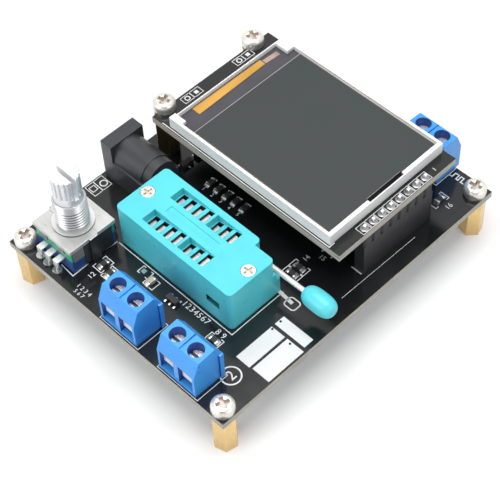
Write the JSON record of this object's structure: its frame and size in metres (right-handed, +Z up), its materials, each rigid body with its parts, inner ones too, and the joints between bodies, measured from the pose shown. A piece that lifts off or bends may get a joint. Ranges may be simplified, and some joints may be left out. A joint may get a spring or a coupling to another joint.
{
  "type": "electronic component tester",
  "caption": "Open-board bench component tester on hex brass feet, with a raised colour display, lever-clamped test socket, push-turn encoder, power jack and screw terminals.",
  "frame": {"origin": "centre of the rectangle of the four feet, on the plane that the feet stand on", "axes": "+X to the right along the front edge, +Y from the front edge towards the display and the back terminal, +Z up"},
  "size_m": [0.0639, 0.0791, 0.0332],
  "materials": {
    "board": "glossy black solder mask with white print",
    "brass_post": "turned hex brass",
    "screw_steel": "bright nickel plate",
    "black_plastic": "satin moulded",
    "gold_pin": "thin plate",
    "white_plastic": "satin moulded",
    "display_glass": "polished",
    "display_film": "smooth dark film",
    "flex_film": "thin amber film",
    "tinned_metal": "tinned",
    "knob_metal": "bright turned",
    "green_plastic": "laminate",
    "blue_grey_plastic": "satin moulded",
    "inner_plastic": "satin moulded",
    "teal_plastic": "fine moulded grain",
    "steel_rod": "bright plated",
    "blue_plastic": "moulded",
    "clamp_metal": "bright zinc plate",
    "chip_black": "moulded",
    "ceramic": "sintered"
  },
  "bodies": {
    "tester": {"board_screws": "screw_steel", "chip_capacitors": "ceramic", "chip_resistors": "chip_black", "corner_standoffs": "brass_post", "crystal": "tinned_metal", "dc_jack_housing": "black_plastic", "dc_jack_pin": "tinned_metal", "dc_jack_sleeve_contact": "tinned_metal", "dc_jack_switch_contact": "tinned_metal", "display_board": "board", "display_header_pins": "gold_pin", "display_header_strip": "black_plastic", "display_posts": "brass_post", "display_socket": "black_plastic", "display_socket_contacts": "gold_pin", "encoder_base": "blue_grey_plastic", "encoder_bushing": "knob_metal", "encoder_dome": "tinned_metal", "encoder_plate": "knob_metal", "encoder_terminals": "tinned_metal", "encoder_wafer": "green_plastic", "guard_chip": "chip_black", "lcd_flex": "flex_film", "lcd_frame": "white_plastic", "lcd_front_glass": "display_glass", "lcd_light_guide": "white_plastic", "lcd_polarizer": "display_film", "lcd_rear_glass": "display_glass", "main_board": "board", "microcontroller": "chip_black", "microcontroller_leads": "tinned_metal", "regulator": "chip_black", "terminal_1_housing": "blue_plastic", "terminal_2_housing": "blue_plastic", "terminal_3_housing": "blue_plastic", "terminal_strips": "tinned_metal", "transistors": "chip_black", "voltage_reference": "chip_black", "zif_base": "teal_plastic", "zif_contacts": "tinned_metal", "zif_cover": "teal_plastic", "zif_screws": "screw_steel"},
    "encoder_rotor": {"encoder_rotor": "inner_plastic"},
    "encoder_shaft": {"encoder_shaft": "knob_metal"},
    "zif_lever": {"zif_lever": "steel_rod", "zif_lever_knob": "teal_plastic"},
    "zif_slider": {"zif_slider": "inner_plastic"},
    "terminal_1_screw_a": {"terminal_1_screw_a": "clamp_metal"},
    "terminal_1_clamp_a": {"terminal_1_clamp_a": "clamp_metal"},
    "terminal_1_screw_b": {"terminal_1_screw_b": "clamp_metal"},
    "terminal_1_clamp_b": {"terminal_1_clamp_b": "clamp_metal"},
    "terminal_2_screw_a": {"terminal_2_screw_a": "clamp_metal"},
    "terminal_2_clamp_a": {"terminal_2_clamp_a": "clamp_metal"},
    "terminal_2_screw_b": {"terminal_2_screw_b": "clamp_metal"},
    "terminal_2_clamp_b": {"terminal_2_clamp_b": "clamp_metal"},
    "terminal_3_screw_a": {"terminal_3_screw_a": "clamp_metal"},
    "terminal_3_clamp_a": {"terminal_3_clamp_a": "clamp_metal"},
    "terminal_3_screw_b": {"terminal_3_screw_b": "clamp_metal"},
    "terminal_3_clamp_b": {"terminal_3_clamp_b": "clamp_metal"}
  },
  "joints": [
    {"name": "encoder_turn", "type": "hinge", "parent": "tester", "child": "encoder_rotor", "pos_m": [-0.021, -0.0294, 0.0188], "axis": [0, 0, 1], "continuous": true},
    {"name": "encoder_push", "type": "slide", "parent": "encoder_rotor", "child": "encoder_shaft", "axis": [0, 0, -1], "range_m": [0, 0.0005], "stiffness_N_per_m": 6000},
    {"name": "zif_lever", "type": "hinge", "parent": "tester", "child": "zif_lever", "pos_m": [0.0135, -0.0098, 0.0181], "axis": [0, -1, 0], "range_deg": [0, 90]},
    {"name": "zif_slide", "type": "slide", "parent": "tester", "child": "zif_slider", "axis": [1, 0, 0], "range_m": [0, 0.00099]},
    {"name": "terminal_1_screw_a_turn", "type": "hinge", "parent": "tester", "child": "terminal_1_screw_a", "pos_m": [-0.00082, -0.03495, 0.0187], "axis": [0, 0, 1], "range_deg": [0, 961]},
    {"name": "terminal_1_clamp_a_lower", "type": "slide", "parent": "tester", "child": "terminal_1_clamp_a", "axis": [0, 0, -1], "range_m": [0, 0.0012]},
    {"name": "terminal_1_screw_b_turn", "type": "hinge", "parent": "tester", "child": "terminal_1_screw_b", "pos_m": [0.00426, -0.03495, 0.0187], "axis": [0, 0, 1], "range_deg": [0, 961]},
    {"name": "terminal_1_clamp_b_lower", "type": "slide", "parent": "tester", "child": "terminal_1_clamp_b", "axis": [0, 0, -1], "range_m": [0, 0.0012]},
    {"name": "terminal_2_screw_a_turn", "type": "hinge", "parent": "tester", "child": "terminal_2_screw_a", "pos_m": [0.01588, -0.03495, 0.0187], "axis": [0, 0, 1], "range_deg": [0, 961]},
    {"name": "terminal_2_clamp_a_lower", "type": "slide", "parent": "tester", "child": "terminal_2_clamp_a", "axis": [0, 0, -1], "range_m": [0, 0.0012]},
    {"name": "terminal_2_screw_b_turn", "type": "hinge", "parent": "tester", "child": "terminal_2_screw_b", "pos_m": [0.02096, -0.03495, 0.0187], "axis": [0, 0, 1], "range_deg": [0, 961]},
    {"name": "terminal_2_clamp_b_lower", "type": "slide", "parent": "tester", "child": "terminal_2_clamp_b", "axis": [0, 0, -1], "range_m": [0, 0.0012]},
    {"name": "terminal_3_screw_a_turn", "type": "hinge", "parent": "tester", "child": "terminal_3_screw_a", "pos_m": [0.01408, 0.03665, 0.0187], "axis": [0, 0, 1], "range_deg": [0, 961]},
    {"name": "terminal_3_clamp_a_lower", "type": "slide", "parent": "tester", "child": "terminal_3_clamp_a", "axis": [0, 0, -1], "range_m": [0, 0.0012]},
    {"name": "terminal_3_screw_b_turn", "type": "hinge", "parent": "tester", "child": "terminal_3_screw_b", "pos_m": [0.01916, 0.03665, 0.0187], "axis": [0, 0, 1], "range_deg": [0, 961]},
    {"name": "terminal_3_clamp_b_lower", "type": "slide", "parent": "tester", "child": "terminal_3_clamp_b", "axis": [0, 0, -1], "range_m": [0, 0.0012]}
  ],
  "couplings": [
    {"joint": "zif_lever", "follows": "zif_slide", "rad_per_m": 1586.6},
    {"joint": "terminal_1_screw_a_turn", "follows": "terminal_1_clamp_a_lower", "rad_per_m": 13963},
    {"joint": "terminal_1_screw_b_turn", "follows": "terminal_1_clamp_b_lower", "rad_per_m": 13963},
    {"joint": "terminal_2_screw_a_turn", "follows": "terminal_2_clamp_a_lower", "rad_per_m": 13963},
    {"joint": "terminal_2_screw_b_turn", "follows": "terminal_2_clamp_b_lower", "rad_per_m": 13963},
    {"joint": "terminal_3_screw_a_turn", "follows": "terminal_3_clamp_a_lower", "rad_per_m": 13963},
    {"joint": "terminal_3_screw_b_turn", "follows": "terminal_3_clamp_b_lower", "rad_per_m": 13963}
  ]
}
